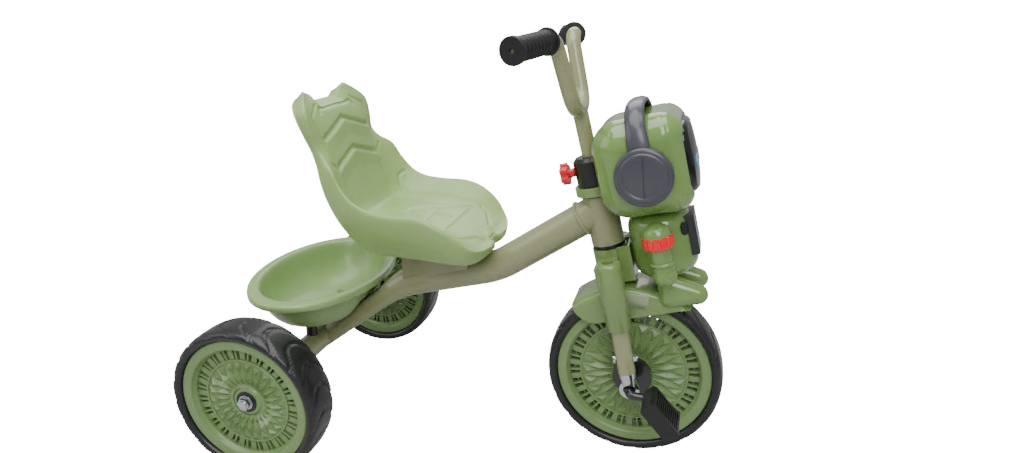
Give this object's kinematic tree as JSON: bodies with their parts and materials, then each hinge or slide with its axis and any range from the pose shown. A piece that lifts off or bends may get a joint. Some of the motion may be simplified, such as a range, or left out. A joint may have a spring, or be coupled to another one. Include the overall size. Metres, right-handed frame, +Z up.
{
  "type": "children's tricycle",
  "caption": "Child's tricycle with a pedalled front wheel, bucket seat, oval rear basket, height-adjustable handlebar and a robot figure with headphones over the front fender.",
  "frame": {"origin": "on the ground under the middle of the whole length, in the plane of symmetry", "axes": "+X forward, +Y to the rider's left, +Z up"},
  "size_m": [0.765, 0.484, 0.6288],
  "materials": {
    "frame_paint": "satin olive-beige paint",
    "fork_green": "semi-gloss green",
    "black_plastic": "fine matte",
    "plated_steel": "bright plating",
    "black_steel": "semi-gloss black",
    "seat_plastic": "fine matte, blow moulded",
    "basket_plastic": "fine matte, moulded",
    "wheel_green": "satin",
    "tyre_black": "moulded foam rubber",
    "red_plastic": "gloss",
    "robot_green": "high gloss",
    "visor_black": "high gloss, dark",
    "eye_cyan": "gloss",
    "headphone_grey": "gloss",
    "panel_dark": "gloss",
    "grip_rubber": "matte"
  },
  "bodies": {
    "frame": {"main_tube": "frame_paint", "rear_stay": "frame_paint", "head_tube": "frame_paint", "head_bush_upper": "black_plastic", "head_bush_lower": "black_plastic", "axle_tube": "frame_paint", "axle_tube_plugs": "black_plastic", "rear_axle": "plated_steel", "rear_axle_nuts": "plated_steel", "seat_bracket": "frame_paint", "seat_plate": "black_plastic", "seat": "seat_plastic", "seat_bolts": "plated_steel", "basket": "basket_plastic", "basket_posts": "black_plastic", "basket_screws": "plated_steel"},
    "left_rear_wheel": {"left_rear_rim": "wheel_green", "left_rear_tyre": "tyre_black", "left_rear_bushes": "black_plastic"},
    "right_rear_wheel": {"right_rear_rim": "wheel_green", "right_rear_tyre": "tyre_black", "right_rear_bushes": "black_plastic"},
    "handlebar": {"handlebar": "frame_paint", "left_grip": "grip_rubber", "right_grip": "grip_rubber"},
    "clamp_knob": {"clamp_knob": "red_plastic"},
    "front_wheel": {"front_rim": "wheel_green", "front_tyre": "tyre_black", "crank_axle": "black_steel"},
    "left_pedal": {"left_pedal": "black_plastic"},
    "right_pedal": {"right_pedal": "black_plastic"},
    "side_button": {"side_button": "panel_dark"},
    "fork": {"fork_crown": "fork_green", "steerer": "plated_steel", "left_fork_sleeve": "fork_green", "right_fork_sleeve": "fork_green", "left_fork_leg": "frame_paint", "right_fork_leg": "frame_paint", "dropouts": "plated_steel", "dropout_bushes": "black_plastic", "leg_bolts": "plated_steel", "front_fender": "fork_green", "mount_upright": "fork_green", "clamp_collar": "black_plastic", "robot_ring": "fork_green", "robot_head_rear": "robot_green", "robot_head_front": "robot_green", "robot_visor": "visor_black", "robot_eyes": "eye_cyan", "headband": "headphone_grey", "left_ear_cup": "headphone_grey", "right_ear_cup": "headphone_grey", "robot_body": "robot_green", "chest_panel": "panel_dark", "battery_box": "black_plastic", "speaker": "panel_dark", "left_arm": "robot_green", "right_arm": "robot_green", "shoulder_rings": "red_plastic", "robot_feet": "robot_green"}
  },
  "joints": [
    {"name": "steering", "type": "hinge", "parent": "frame", "child": "fork", "pos_m": [0.2555, 0, 0.13], "axis": [-0.2588, 0, 0.9659], "range_deg": [-40, 40]},
    {"name": "bar_height", "type": "slide", "parent": "fork", "child": "handlebar", "axis": [-0.2588, 0, 0.9659], "range_m": [-0.045, 0.03]},
    {"name": "clamp_turn", "type": "hinge", "parent": "fork", "child": "clamp_knob", "pos_m": [0.1496, 0, 0.4267], "axis": [-0.9659, 0, -0.2588], "continuous": true},
    {"name": "front_wheel_spin", "type": "hinge", "parent": "fork", "child": "front_wheel", "pos_m": [0.2525, 0, 0.13], "axis": [0, 1, 0], "continuous": true},
    {"name": "left_pedal_spin", "type": "hinge", "parent": "front_wheel", "child": "left_pedal", "pos_m": [0.2055, 0.116, 0.13], "axis": [0, 1, 0], "continuous": true},
    {"name": "right_pedal_spin", "type": "hinge", "parent": "front_wheel", "child": "right_pedal", "pos_m": [0.2995, -0.116, 0.13], "axis": [0, 1, 0], "continuous": true},
    {"name": "left_rear_wheel_spin", "type": "hinge", "parent": "frame", "child": "left_rear_wheel", "pos_m": [-0.2675, 0.212, 0.115], "axis": [0, 1, 0], "continuous": true},
    {"name": "right_rear_wheel_spin", "type": "hinge", "parent": "frame", "child": "right_rear_wheel", "pos_m": [-0.2675, -0.212, 0.115], "axis": [0, 1, 0], "continuous": true},
    {"name": "button_press", "type": "slide", "parent": "fork", "child": "side_button", "axis": [-0.7399, 0.6428, -0.1983], "range_m": [0, 0.002], "stiffness_N_per_m": 400, "springref_m": -0.002}
  ]
}
